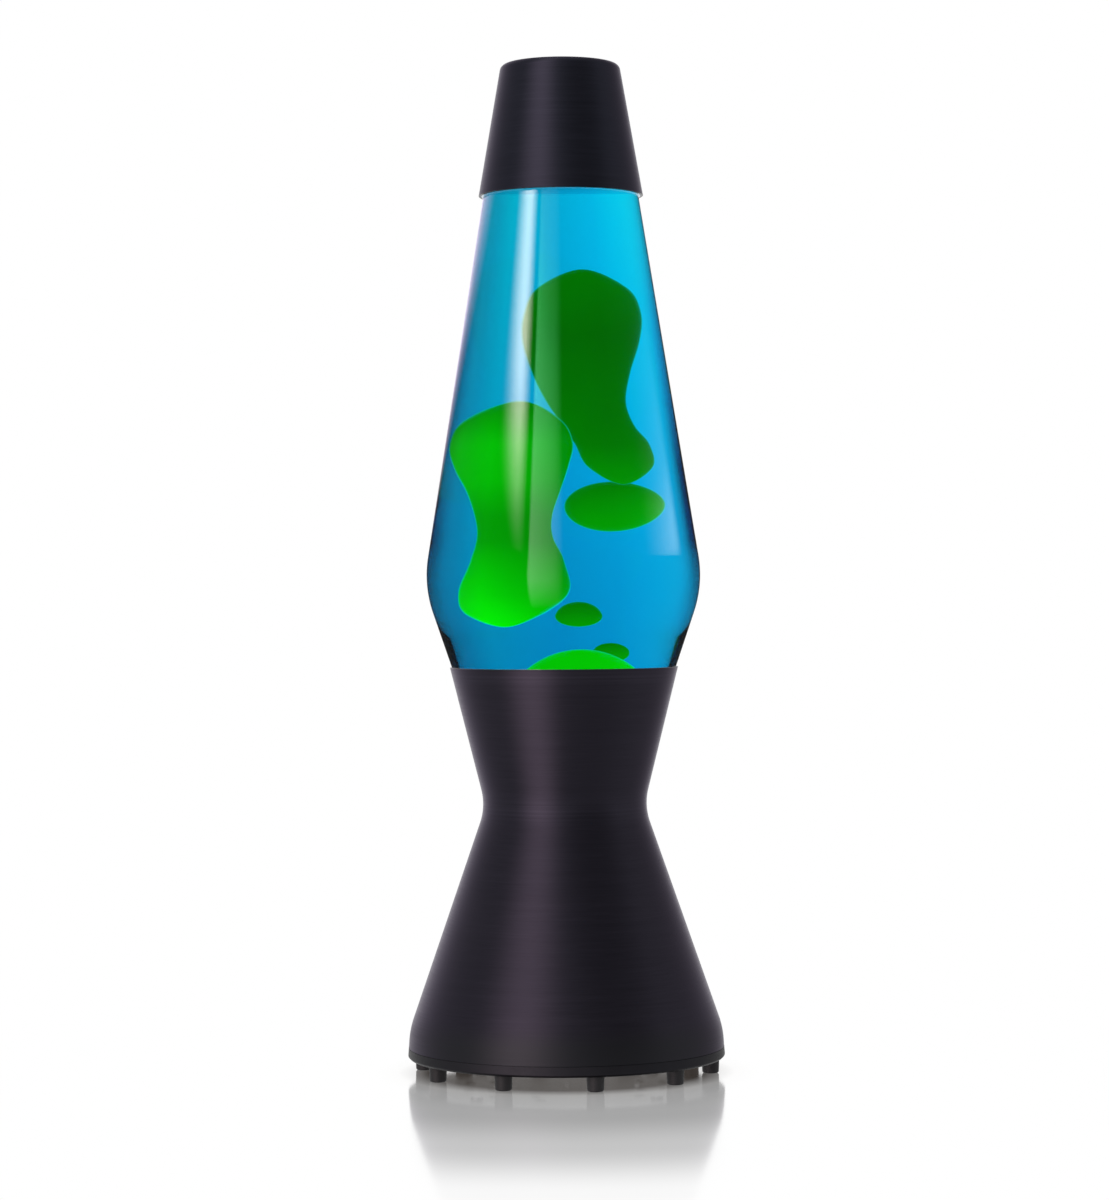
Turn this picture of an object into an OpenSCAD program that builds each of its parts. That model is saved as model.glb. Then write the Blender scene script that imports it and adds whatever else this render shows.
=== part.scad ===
// Table lava lamp: a two-cone bottle of liquid and wax on an hourglass base, under a loose cap.
// Millimetres, +Z up, front towards -Y, origin on the surface the feet stand on, on the lamp's axis.

/* [Base] */
// Height of the base shell's top rim
rim_z = 172.8; // [171:0.1:175]
// Outer radius of the base shell's top rim
rim_r = 48.7; // [48.6:0.1:50]
// Height of the waist
waist_z = 113.5; // [111:0.5:115]
// Outer radius of the waist's sharp corner, before it is rounded
waist_r = 33.9; // [33.6:0.1:35]
// Height where the straight hem meets the lower cone
hem_z = 18.7; // [17:0.1:20]
// Outer radius of the hem's top
hem_r = 66.8; // [66:0.1:68]
// Outer radius of the foot ring's widest edge
foot_ring_r = 67.6; // [67.4:0.1:68.4]
// Height of the seam between the foot ring and the shell
seam_z = 11; // [10.8:0.1:12.5]
// Thickness of the spun shell
shell_wall = 1.2; // [0.8:0.1:1.4]

/* [Feet] */
// Number of peg feet
foot_count = 10; // [6:1:10]
// Height of a foot below the ring
foot_h = 6.4; // [5:0.1:6.6]
// Radius of a foot
foot_r = 3.75; // [3:0.25:4]
// Turn of the first foot from the front
foot_turn = 11; // [0:1:35]

/* [Bottle] */
// Height of the bottle's underside
bottle_z = 126; // [124:0.5:128]
// Radius of the bottle's underside
bottle_r = 32; // [31:0.1:32.2]
// Height of the sharp corner at the bottle's widest place
belly_z = 207.8; // [206:0.1:210]
// Radius of that corner, before it is rounded
belly_r = 59.7; // [59:0.1:59.8]
// Height of the shoulder inside the cap
shoulder_z = 385; // [383:0.5:386]
// Radius of the shoulder
shoulder_r = 31.3; // [30.8:0.1:31.4]
// Thickness of the glass
glass_wall = 3; // [2.4:0.1:3.4]
// Level that the liquid is filled to
fill_z = 388; // [380:1:390]

/* [Cap] */
// Overall height of the lamp, to the cap's top
lamp_h = 430; // [428:0.5:436]
// Height of the cap's open rim
cap_rim_z = 374; // [372:0.5:376]
// Outer radius of the cap's rim
cap_rim_r = 35.1; // [35:0.1:36]
// Outer radius of the cap's top, before its edge is rounded
cap_top_r = 25.3; // [25:0.1:27]
// Thickness of the cap's wall
cap_wall = 1.2; // [1:0.1:1.3]

/* [Bulb] */
// Height of the face that the bulb's base rests on
socket_z = 64; // [63:0.5:65]
// Radius of the reflector's front
reflector_r = 25; // [24:0.5:26]

/* [Hidden] */
$fn = 96;

charcoal = "#25222b";
black = "#18171a";
steel = "#b9bcc0";
brass = "#c8a24a";
white = "#ecebe6";
eps = 0.01;

// Clear space between bodies that move apart, and between pieces that only fit together
clear = 0.4;
fit = 0.1;

// Base shell
seat_gap = 0.35;
seat_depth = 6;
waist_round = 25;
hem_round = 36;

// Foot ring and bottom plate
ring_flange_top = foot_h + 3.8;
ring_bore_r = 49;
ring_edge = 1;
spigot_top = 17;
spigot_wall = 2;
plate_t = 1;
plate_r = 57;
plate_z = foot_h;
plate_top = plate_z + plate_t;
plate_screw_r = 53;
foot_circle_r = 61.6;
foot_stem_r = 2;
foot_stem_h = 3;

// Cord inlet
gland_z = 18.5;
gland_bore_r = 3.4;
gland_in_y = 56;
gland_out_y = 68.8;
gland_collar_r = 6;
gland_thread_r = 4.8;
gland_nut_y = 58.5;
gland_nut_r = 8;
gland_nut_t = 3;

// Lampholder and its bracket
bracket_t = 1.5;
bracket_w = 16;
bracket_half = 24;
bracket_top = 47.5;
bracket_tab = 12;
holder_r = 14;
holder_screw_x = 11.2;
cavity_z = 54;
cavity_r = 8.6;
cavity_top = 61.2;
pin_circle = 5;
pin_r = 1.25;
pin_head_r = 2.35;
pin_head_z = 58;
pin_head_h = 2.6;
twist = 18;
wire_r = 1.1;

// Earth tag
tag_y = 3;
crimp_y = 9;
tag_t = 0.7;

// Terminal block
block_w = 17;
block_d = 16;
block_h = 12;
block_y = 30;
way_pitch = pin_circle;
groove_w = 0.8;
way_z = plate_top + 6.5;

// Bulb
bulb_base_h = 10;
reflector_z = socket_z + bulb_base_h;
reflector_top = socket_z + 52;
reflector_neck_r = 9;
reflector_wall = 1.3;
lens_t = 2.4;

// Bottle's mouth and closure
neck_r = 11.8;
neck_z = 398;
bead_r = 13.3;
bead_z = 405;
mouth_z = 411.5;
liner_t = 0.9;
crown_top = mouth_z + liner_t + 0.4;
crown_teeth = 21;

// Wax: each row of a drop is [height, place along X, radius], from its lowest point to its highest
wax_z = 150;
dome_x = 5.5;
dome_r = 26.5;
dome_h = 34.9;
left_y = -9;
left_rows = [
    [193.8, -20, 0], [199.5, -20.5, 13.5], [206.7, -17, 19], [216.5, -15.6, 16], [226, -16.3, 13],
    [235, -16.8, 13.3], [246, -17, 16.4], [256, -18.2, 20.3], [266, -19, 22.5],
    [276, -18, 17.2], [284, -14.5, 0]
];
upper_y = 12;
upper_rows = [
    [247.7, 18, 0], [255, 17, 9.4], [265, 14.5, 10.9], [273, 10.6, 10.5], [283, 7, 11.6],
    [295, 5.5, 14.1], [309.2, 5.3, 16.7], [321.5, 5.7, 16.5], [332.6, 5.8, 12.6], [340.4, 6, 0]
];
// Each small drop is its centre, its radius and half its height
flat_drop = [[13.1, 28, 237.8], 12.8, 10.9];
small_drop = [[4.6, 8, 199.9], 7.3, 4.6];
low_drop = [[13.4, 18, 184.7], 5.2, 4.3];
drop_sides = 20;
drop_steps = 2;
coil_z = 137;
coil_ring_r = 20;
coil_r = 4;
coil_turns = 18;
coil_rings = 9;
coil_wire_r = 0.5;

// ---------- profiles ----------
// A path is a list of corners [r, z, rounding]; it runs with the solid's inside on its left.

function unit(v) = v / norm(v);
function left_of(v) = [-v[1], v[0]];
function turn(v, a) = [v[0] * cos(a) - v[1] * sin(a), v[0] * sin(a) + v[1] * cos(a)];
function spot(corner) = [corner[0], corner[1]];

// The arc that rounds corner b between its neighbours a and c
function arc(a, b, c, radius, steps) =
    let (u = unit(a - b), w = unit(c - b))
    let (half = acos(u * w) / 2, side = sign(cross(-u, w)))
    let (start = b + u * radius / tan(half), middle = start + left_of(-u) * side * radius)
    [for (i = [0:steps]) middle + turn(start - middle, side * (180 - 2 * half) * i / steps)];

// A path with its corners rounded, as points
function rounded(path, steps = 8) = [
    for (i = [0:len(path) - 1])
        each path[i][2] > 0
            ? arc(spot(path[i - 1]), spot(path[i]), spot(path[i + 1]), path[i][2], steps)
            : [spot(path[i])]
];

// A path moved to its left by t, with the corners mitred and their rounding kept concentric
function moved(path, t) = [
    for (i = [0:len(path) - 1])
        let (last = len(path) - 1, here = spot(path[i]))
        let (u = i == 0 ? unit(spot(path[1]) - here) : unit(here - spot(path[i - 1])))
        let (w = i == last ? u : unit(spot(path[i + 1]) - here))
        let (n = unit(left_of(u) + left_of(w)), s = sign(cross(u, w)))
        let (p = here + n * t / (n * left_of(u)))
        [p[0], p[1], path[i][2] > 0 ? max(0.2, path[i][2] - s * t) : 0]
];

function reversed(list) = [for (i = [len(list) - 1:-1:0]) list[i]];

module wall_of(outside, inside) {
    rotate_extrude() polygon(concat(outside, reversed(inside)));
}

module disc(r, z, h) {
    translate([0, 0, z]) cylinder(r = r, h = h);
}

module around(count, r, first = 0) {
    for (i = [0:count - 1])
        rotate([0, 0, first + 360 * i / count]) translate([r, 0, 0]) children();
}

// A screw with its head on top at z and its shank running down
module screw(z, head_r, head_h, shank_r, shank_h, slot = 0.6) {
    difference() {
        union() {
            disc(head_r, z, head_h);
            disc(shank_r, z - shank_h, shank_h + eps);
        }
        translate([-head_r - 1, -slot / 2, z + head_h / 2]) cube([2 * head_r + 2, slot, head_h]);
    }
}

// ---------- base ----------

shell_path = [
    [foot_ring_r - 0.3, seam_z, 0],
    [hem_r, hem_z, hem_round],
    [waist_r, waist_z, waist_round],
    [rim_r, rim_z, 0]
];

bottle_slope = (belly_r - bottle_r) / (belly_z - bottle_z);
function bottle_cone_r(z) = bottle_r + bottle_slope * (z - bottle_z);

module gland_hole(r) {
    translate([0, gland_in_y - 5, gland_z]) rotate([-90, 0, 0]) cylinder(r = r, h = 20);
}

// The rim's inside is bevelled to the bottle's own cone, which is its seat
module base_shell() {
    color(charcoal) difference() {
        wall_of(rounded(shell_path), rounded(moved(shell_path, shell_wall)));
        translate([0, 0, rim_z - seat_depth]) cylinder(
            r1 = bottle_cone_r(rim_z - seat_depth) + seat_gap,
            r2 = bottle_cone_r(rim_z + 2) + seat_gap,
            h = seat_depth + 2
        );
        disc(rim_r + 5, rim_z, 5);
        gland_hole(gland_thread_r + fit);
    }
}

module foot_ring() {
    shell_inside = foot_ring_r - 0.3 - shell_wall - fit;
    profile = [
        [foot_ring_r - ring_edge, foot_h], [foot_ring_r, foot_h + ring_edge],
        [foot_ring_r - 0.2, seam_z - fit],
        [shell_inside, seam_z - fit], [shell_inside - 0.5, spigot_top],
        [shell_inside - spigot_wall, spigot_top], [shell_inside - spigot_wall, ring_flange_top],
        [ring_bore_r, ring_flange_top], [ring_bore_r, plate_top + fit],
        [plate_r + fit, plate_top + fit], [plate_r + fit, foot_h]
    ];
    color(black) difference() {
        rotate_extrude() polygon(profile);
        around(foot_count, foot_circle_r, foot_turn - 90)
            disc(foot_stem_r + fit / 2, foot_h - 1, foot_stem_h + 1.1);
        around(4, plate_screw_r, 45) disc(1.2, plate_top, 4);
        gland_hole(gland_thread_r + fit);
    }
}

module foot(i) {
    edge = 0.8;
    profile = [
        [0, 0], [foot_r - 0.2 - edge, 0], [foot_r - 0.2, edge], [foot_r, foot_h],
        [foot_stem_r, foot_h], [foot_stem_r, foot_h + foot_stem_h], [0, foot_h + foot_stem_h]
    ];
    color(black)
        rotate([0, 0, foot_turn - 90 + 360 * (i - 1) / foot_count])
            translate([foot_circle_r, 0, 0])
                rotate_extrude() polygon(profile);
}

module bottom_plate() {
    color(black) difference() {
        disc(plate_r, plate_z, plate_t);
        around(4, plate_screw_r, 45) disc(1.5, 0, 10);
        around(2, bracket_half + bracket_tab / 2) disc(1.2, 0, 10);
        around(12, 43, 15) disc(2.5, 0, 10);
        around(8, 34, 22.5) disc(2.2, 0, 10);
        translate([0, tag_y, 0]) disc(1.2, 0, 10);
    }
}

module plate_screws() {
    color(steel) around(4, plate_screw_r, 45)
        translate([0, 0, plate_z]) mirror([0, 0, 1]) screw(0, 2.6, 1.3, 1.1, 3.6);
}

// Everything inside the shell's outer face, grown by gap
module shell_envelope(gap) {
    rotate_extrude()
        polygon(concat([[0, seam_z]], rounded(moved(shell_path, -gap)), [[0, rim_z]]));
}

// The bush's collar is moulded to the shell's slope
module cord_gland() {
    module turned() {
        translate([0, 0, gland_z]) rotate([-90, 0, 0]) children();
    }
    color(black) difference() {
        union() {
            turned() disc(gland_thread_r, gland_in_y, gland_out_y - gland_in_y - 1);
            difference() {
                turned() rotate_extrude() polygon([
                    [0, gland_in_y + 4], [gland_collar_r, gland_in_y + 4],
                    [gland_collar_r, gland_out_y - 0.8], [gland_collar_r - 0.8, gland_out_y],
                    [0, gland_out_y]
                ]);
                shell_envelope(fit);
            }
        }
        turned() disc(gland_bore_r, gland_in_y - 1, 20);
    }
}

module gland_nut() {
    color(black) translate([0, 0, gland_z]) rotate([-90, 0, 0]) difference() {
        translate([0, 0, gland_nut_y]) cylinder(r = gland_nut_r, h = gland_nut_t, $fn = 6);
        disc(gland_thread_r + fit / 2, gland_in_y, gland_nut_t + 3);
    }
}

module holder_bracket() {
    leg_h = bracket_top - plate_top;
    color(steel) difference() {
        union() {
            translate([-bracket_half, -bracket_w / 2, bracket_top - bracket_t])
                cube([2 * bracket_half, bracket_w, bracket_t]);
            for (side = [0, 1]) mirror([side, 0, 0]) {
                translate([bracket_half - bracket_t, -bracket_w / 2, plate_top])
                    cube([bracket_t, bracket_w, leg_h]);
                translate([bracket_half - bracket_t, -bracket_w / 2, plate_top])
                    cube([bracket_tab + bracket_t, bracket_w, bracket_t]);
            }
        }
        around(2, bracket_half + bracket_tab / 2) disc(1.5, 0, 20);
        around(2, holder_screw_x) disc(1.5, 40, 20);
        around(2, pin_circle) disc(wire_r + 0.6, 40, 20);
    }
}

module bracket_screws() {
    color(steel) around(2, bracket_half + bracket_tab / 2)
        screw(plate_top + bracket_t, 2.6, 1.4, 1.1, bracket_t + plate_t);
}

// Two keyhole slots let the bulb's pin heads in and lock them after a short turn
module key_slots() {
    for (side = [0, 180]) rotate([0, 0, side]) {
        rotate_extrude(angle = twist)
            polygon([
                [pin_circle - pin_r - clear, cavity_top - 1], [pin_circle + pin_r + clear, cavity_top - 1],
                [pin_circle + pin_r + clear, socket_z + 1], [pin_circle - pin_r - clear, socket_z + 1]
            ]);
        translate([pin_circle, 0, 0]) disc(pin_r + clear, cavity_top - 1, 6);
        rotate([0, 0, twist]) translate([pin_circle, 0, 0]) disc(pin_head_r + clear, cavity_top - 1, 6);
    }
}

module lampholder_body() {
    color(white) difference() {
        disc(holder_r, bracket_top + fit, socket_z - bracket_top - fit);
        disc(cavity_r, cavity_z, cavity_top - cavity_z);
        key_slots();
        around(2, pin_circle) disc(wire_r + 0.2, 40, cavity_z - 39);
        around(2, holder_screw_x) disc(1.2, 40, 14);
    }
}

module lampholder_screws() {
    color(steel) around(2, holder_screw_x)
        translate([0, 0, bracket_top - bracket_t]) mirror([0, 0, 1]) screw(0, 2.5, 1.3, 1.1, 6);
}

// A folded leaf under one pin head, standing on the cavity's floor over the wire's end
module contact(side) {
    leaf_t = 0.6;
    leaf_z = pin_head_z - clear - leaf_t;
    color(brass) rotate([0, 0, side]) translate([pin_circle - 1.8, -1.5, 0]) {
        translate([0, 0, leaf_z]) cube([3.6, 5.4, leaf_t]);
        translate([0, 0, cavity_z]) cube([leaf_t, 3, leaf_z - cavity_z + leaf_t / 2]);
        translate([0, 0, cavity_z]) cube([3.6, 3, leaf_t]);
    }
}

module terminal_block() {
    color(white) difference() {
        translate([-block_w / 2, block_y - block_d / 2, plate_top]) cube([block_w, block_d, block_h]);
        for (x = [-way_pitch:way_pitch:way_pitch]) {
            translate([x, block_y - block_d, way_z])
                rotate([-90, 0, 0]) cylinder(r = wire_r + 0.3, h = 2 * block_d);
            translate([x, block_y - 4, 0]) disc(1.7, way_z, block_h);
        }
        for (x = [-way_pitch / 2, way_pitch / 2])
            translate([x - groove_w / 2, block_y - block_d, plate_top + block_h - 2])
                cube([groove_w, 2 * block_d, 5]);
    }
}

module terminal_screws() {
    color(brass) for (x = [-way_pitch:way_pitch:way_pitch])
        translate([x, block_y - 4, 0]) screw(way_z + 3.2, 1.6, 1.2, 1.1, 1.9, 0.5);
}

// A quarter bend of wire in the plane of Y and Z, about its centre
module bend_of_wire(x, y, z, bend, start) {
    translate([x, y, z]) rotate([90, 0, 90])
        rotate_extrude(angle = 90, start = start) translate([bend, 0]) circle(r = wire_r);
}

// The straight end of a wire, along Y into the terminal block
module wire_end(x, y) {
    translate([x, y, way_z]) rotate([-90, 0, 0]) cylinder(r = wire_r, h = block_y - 2 - y);
}

// A wire from the lampholder at x down to a bend and back along Y
module bent_wire(x) {
    bend = 5;
    translate([x, 0, way_z + bend]) cylinder(r = wire_r, h = cavity_z - way_z - bend);
    bend_of_wire(x, bend, way_z + bend, bend, 180);
    wire_end(x, bend);
}

module live_wire() {
    color("#7a4a2c") bent_wire(pin_circle);
}

module neutral_wire() {
    color("#2f5f9e") bent_wire(-pin_circle);
}

module earth_wire() {
    bend = 4;
    start_z = plate_top + tag_t;
    color("#6f9a3a") {
        translate([0, crimp_y, start_z]) cylinder(r = wire_r, h = way_z - bend - start_z);
        bend_of_wire(0, crimp_y + bend, way_z - bend, bend, 90);
        wire_end(0, crimp_y + bend);
    }
}

module earth_tag() {
    color(brass) difference() {
        union() {
            translate([0, crimp_y, 0]) disc(2, plate_top, tag_t);
            translate([-1.5, tag_y, plate_top]) cube([3, crimp_y - tag_y, tag_t]);
            translate([0, tag_y, 0]) disc(3, plate_top, tag_t);
        }
        translate([0, tag_y, 0]) disc(1.3, plate_top - 1, 3);
    }
}

module earth_screw() {
    color(steel) translate([0, tag_y, 0]) screw(plate_top + tag_t, 2.4, 1.2, 1.1, 1.6);
}

// ---------- bulb ----------

module bulb_base() {
    color(white) rotate_extrude() polygon([
        [0, socket_z + clear], [10.5, socket_z + clear], [12, socket_z + clear + 1.5],
        [12, reflector_z - 2.5], [reflector_neck_r + 1, reflector_z], [0, reflector_z]
    ]);
}

module bulb_pins() {
    color(steel) around(2, pin_circle) {
        disc(pin_r, pin_head_z, socket_z + clear - pin_head_z);
        disc(pin_head_r, pin_head_z, pin_head_h);
    }
}

// Half the reflector's section: a parabola from its neck to its front
function dish(grow) = [
    for (i = [0:12])
        let (h = i / 12)
        [
            reflector_neck_r + (reflector_r - reflector_neck_r) * pow(h, 0.6) - grow,
            reflector_z + (reflector_top - reflector_z) * h
        ]
];

module bulb_reflector() {
    outside = concat([[0, reflector_z]], dish(0));
    floor_z = reflector_z + reflector_wall;
    inside = concat([[0, floor_z], [reflector_neck_r - reflector_wall, floor_z]], [
        for (p = dish(reflector_wall)) if (p[1] > floor_z) p
    ]);
    color(steel) difference() {
        wall_of(outside, inside);
        disc(reflector_r - reflector_wall / 2, reflector_top - lens_t, lens_t + 1);
    }
}

module bulb_lens() {
    color("#e8eef0")
        disc(reflector_r - reflector_wall / 2 - fit, reflector_top - lens_t + fit, lens_t - fit);
}

module bulb_capsule() {
    r = 4.5;
    foot_z = reflector_z + reflector_wall;
    tip_z = reflector_z + 20;
    color("#f2f5f6") rotate_extrude() polygon(concat(
        [[0, foot_z], [3, foot_z], [3, foot_z + 3]],
        [for (a = [-30:15:90]) [r * cos(a), tip_z - r + r * sin(a) * (a < 0 ? 2 : 1)]],
        [for (a = [75:-15:-30]) [(r - 0.7) * cos(a), tip_z - r + (r - 0.7) * sin(a) * (a < 0 ? 2 : 1)]],
        [[0, foot_z + 5]]
    ));
}

// A straight close-wound filament across the capsule, on two legs
module bulb_filament() {
    leg_r = 0.25;
    leg_x = 2;
    leg_z = reflector_z + 10.1;
    wire_z = reflector_z + 14;
    core_r = 0.5;
    turn_r = 0.9;
    turn_half = 0.3;
    profile = concat(
        [[0, -leg_x - turn_half]],
        [for (x = [-leg_x:1:leg_x]) each [
            [core_r, x - turn_half], [turn_r, x - turn_half],
            [turn_r, x + turn_half], [core_r, x + turn_half]
        ]],
        [[0, leg_x + turn_half]]
    );
    color(steel) {
        for (x = [-leg_x, leg_x]) translate([x, 0, leg_z]) cylinder(r = leg_r, h = wire_z - leg_z);
        translate([0, 0, wire_z]) rotate([0, 90, 0]) rotate_extrude() polygon(profile);
    }
}

// ---------- bottle ----------

bottle_path = [
    [0, bottle_z + 2, 0], [bottle_r - 7, bottle_z + 2, 3], [bottle_r - 5, bottle_z, 1],
    [bottle_r, bottle_z, 4], [belly_r, belly_z, 50], [shoulder_r, shoulder_z, 14], [neck_r, neck_z, 6]
];

function bottle_outside() = rounded(concat(
    bottle_path, [[neck_r, bead_z, 0], [bead_r, bead_z + 1, 0], [bead_r, mouth_z, 1], [0, mouth_z, 0]]
));

// The inner face, moved in by a further gap
function bottle_inside(gap = 0) =
    let (t = glass_wall + gap)
    rounded(concat(moved(bottle_path, t), [[neck_r - t, mouth_z + 1, 0]]));

module inside_between(low, high, gap = 0) {
    difference() {
        rotate_extrude() polygon(concat(bottle_inside(gap), [[0, mouth_z + 1]]));
        disc(2 * belly_r, bottle_z - 50, low - bottle_z + 50);
        disc(2 * belly_r, high, lamp_h);
    }
}

module glass_bottle() {
    color("#dfe8ea", 0.35) difference() {
        rotate_extrude() polygon(bottle_outside());
        rotate_extrude() polygon(concat(bottle_inside(), [[0, mouth_z + 1]]));
    }
}

// The crown's section from the middle of its top out to its skirt and back inside:
// each row is [radius, height, depth of the flutes]
function crown_rows(t) = [
    [4, crown_top, 0], [12.2, crown_top, 0], [13.4, crown_top - 0.7, 0],
    [14.1, crown_top - 2.6, 0.2], [15.4, crown_top - 6, 0.55],
    [15.4 - t, crown_top - 6, 0.55], [14.1 - t, crown_top - 2.6 - t / 2, 0.2],
    [13.4 - t, crown_top - 0.9, 0], [12.2 - t, crown_top - t, 0], [4, crown_top - t, 0]
];

module crown_closure() {
    t = 0.3;
    rows = crown_rows(t);
    sides = 4 * crown_teeth;
    rings = [
        for (row = rows)
            [for (j = [0:sides - 1]) let (a = 360 * j / sides, r = row[0] + row[2] * cos(a * crown_teeth))
                [r * cos(a), r * sin(a), row[1]]]
    ];
    color(steel) closed_skin([0, 0, crown_top - t], reversed(rings), [0, 0, crown_top]);
}

module closure_liner() {
    color(white) disc(12, mouth_z, liner_t);
}

// ---------- liquid, wax and coil ----------

// A closed skin through rings of equal length, from the low pole to the high pole
module closed_skin(low, rings, high) {
    n = len(rings[0]);
    count = len(rings);
    points = concat([low], [for (ring = rings) each ring], [high]);
    top = count * n + 1;
    faces = [
        for (j = [0:n - 1])
            let (k = (j + 1) % n)
            each concat(
                [[0, 1 + j, 1 + k], [top, top - n + k, top - n + j]],
                [for (i = [0:count - 2]) let (a = 1 + i * n, b = a + n) each [
                    [a + j, b + j, b + k], [a + j, b + k, a + k]
                ]]
            )
    ];
    polyhedron(points, faces, convexity = 6);
}

function blend_of(a, b, c, d, t) =
    0.5 * (2 * b + (c - a) * t + (2 * a - 5 * b + 4 * c - d) * t * t
        + (3 * b - a - 3 * c + d) * t * t * t);

// A drop's rows, smoothed; beyond each end the radius runs on negative, which rounds the end
function smooth_rows(rows) =
    let (n = len(rows) - 1, m = [1, 1, -1])
    let (first = [for (k = [0:2]) rows[1][k] * m[k]], final = [for (k = [0:2]) rows[n - 1][k] * m[k]])
    let (all = concat([first], rows, [final]))
    [
        for (i = [0:n - 1], s = [0:drop_steps - 1])
            if (i + s > 0)
                blend_of(all[i], all[i + 1], all[i + 2], all[i + 3], s / drop_steps)
    ];

// A tall drop of wax at depth y, grown all round
module tall_drop(rows, y, grown = 0) {
    last = len(rows) - 1;
    rings = [
        for (row = smooth_rows(rows))
            [for (j = [0:drop_sides - 1]) let (a = 360 * j / drop_sides, r = row[2] + grown)
                [row[1] + r * cos(a), y + r * sin(a), row[0]]]
    ];
    closed_skin(
        [rows[0][1], y, rows[0][0] - grown], rings, [rows[last][1], y, rows[last][0] + grown]
    );
}

// Points on half an ellipse, from its lowest to its highest
function half_ellipse(r, h, from = -90, steps = 12) = [
    for (i = [0:steps])
        let (a = from + (90 - from) * i / steps)
        [max(0, r * cos(a)), h * sin(a)]
];

// A small drop: its centre, its radius and half its height
module small_drop_of(drop, grown = 0) {
    translate(drop[0]) rotate_extrude() polygon(half_ellipse(drop[1] + grown, drop[2] + grown));
}

module dome() {
    translate([dome_x, 0, wax_z])
        rotate_extrude() polygon(concat([[0, -5], [dome_r, -5]], half_ellipse(dome_r, dome_h, 0)));
}

module coil_channel() {
    translate([0, 0, coil_z]) rotate_extrude()
        translate([coil_ring_r, 0]) circle(r = coil_r + coil_wire_r + fit);
}

// The settled wax fills the bottle's foot and rises in a dome; it is hollowed round the coil
module wax_mound() {
    color("#18b818") difference() {
        union() {
            inside_between(bottle_z, wax_z, fit);
            dome();
        }
        coil_channel();
    }
}

module liquid() {
    color("#1aa0dc", 0.6) difference() {
        inside_between(wax_z, fill_z, fit);
        dome();
        tall_drop(left_rows, left_y, clear);
        tall_drop(upper_rows, upper_y, clear);
        for (drop = [flat_drop, small_drop, low_drop]) small_drop_of(drop, clear);
    }
}

// A spring wound round a ring, which stirs the wax as it warms
module coil_spring() {
    count = coil_turns * coil_rings;
    sides = 6;
    points = [
        for (i = [0:count - 1])
            let (a = 360 * i / count, b = a * coil_turns)
            let (out = [cos(a), sin(a), 0], along = [-sin(a), cos(a), 0], up = [0, 0, 1])
            let (normal = out * cos(b) + up * sin(b), aside = up * cos(b) - out * sin(b))
            let (lean = coil_r * coil_turns / coil_ring_r)
            let (forward = unit(along + aside * lean), cross_way = cross(forward, normal))
            for (j = [0:sides - 1])
                out * coil_ring_r + up * coil_z + normal * (coil_r + coil_wire_r * cos(360 * j / sides))
                    + cross_way * coil_wire_r * sin(360 * j / sides)
    ];
    faces = [
        for (i = [0:count - 1], j = [0:sides - 1])
            let (a = i * sides, b = ((i + 1) % count) * sides, k = (j + 1) % sides)
            each [[a + j, a + k, b + k], [a + j, b + k, b + j]]
    ];
    color(steel) polyhedron(points, faces, convexity = 6);
}

module wax_left() {
    color("#10a810") tall_drop(left_rows, left_y);
}

module wax_upper() {
    color("#0a8a0a") tall_drop(upper_rows, upper_y);
}

module wax_flat() {
    color("#0c960c") small_drop_of(flat_drop);
}

module wax_small() {
    color("#0c960c") small_drop_of(small_drop);
}

module wax_low() {
    color("#0c960c") small_drop_of(low_drop);
}

// ---------- cap ----------

cap_path = [[cap_rim_r, cap_rim_z, 0], [cap_top_r, lamp_h, 3], [0, lamp_h, 0]];

module cap_shell() {
    color(charcoal) wall_of(rounded(cap_path), rounded(moved(cap_path, cap_wall)));
}

base_shell();
foot_ring();
bottom_plate();
plate_screws();
cord_gland();
gland_nut();
for (i = [1:foot_count]) foot(i);
holder_bracket();
bracket_screws();
lampholder_body();
lampholder_screws();
contact(0);  // contact_live
contact(180);  // contact_neutral
terminal_block();
terminal_screws();
live_wire();
neutral_wire();
earth_wire();
earth_tag();
earth_screw();
bulb_base();
bulb_pins();
bulb_reflector();
bulb_lens();
bulb_capsule();
bulb_filament();
glass_bottle();
crown_closure();
closure_liner();
liquid();
wax_mound();
coil_spring();
wax_left();
wax_upper();
wax_flat();
wax_small();
wax_low();
cap_shell();
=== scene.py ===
import math

import bpy
from mathutils import Euler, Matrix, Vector


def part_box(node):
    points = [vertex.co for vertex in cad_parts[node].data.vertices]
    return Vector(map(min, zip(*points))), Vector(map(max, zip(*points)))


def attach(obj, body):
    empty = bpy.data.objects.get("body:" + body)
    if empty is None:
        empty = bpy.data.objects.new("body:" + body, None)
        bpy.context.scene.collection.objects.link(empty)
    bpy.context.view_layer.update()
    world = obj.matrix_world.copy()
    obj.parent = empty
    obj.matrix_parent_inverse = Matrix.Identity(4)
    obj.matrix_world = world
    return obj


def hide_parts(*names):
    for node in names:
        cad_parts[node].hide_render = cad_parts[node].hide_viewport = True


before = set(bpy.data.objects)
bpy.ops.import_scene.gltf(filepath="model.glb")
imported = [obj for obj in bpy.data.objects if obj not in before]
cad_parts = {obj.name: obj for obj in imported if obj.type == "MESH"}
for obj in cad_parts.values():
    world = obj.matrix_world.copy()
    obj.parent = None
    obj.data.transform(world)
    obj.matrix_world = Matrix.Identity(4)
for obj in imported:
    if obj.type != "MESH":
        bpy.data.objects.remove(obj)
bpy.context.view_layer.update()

MM = 0.001
TURN = 2 * math.pi
# Edges that turn by more than this many degrees stay sharp
SHARP = 35

# ---------- sizes, in metres; heights and radii come from the frame where it has them ----------
# A corner of a turned outline is a pair: its radius, then its height.

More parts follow.
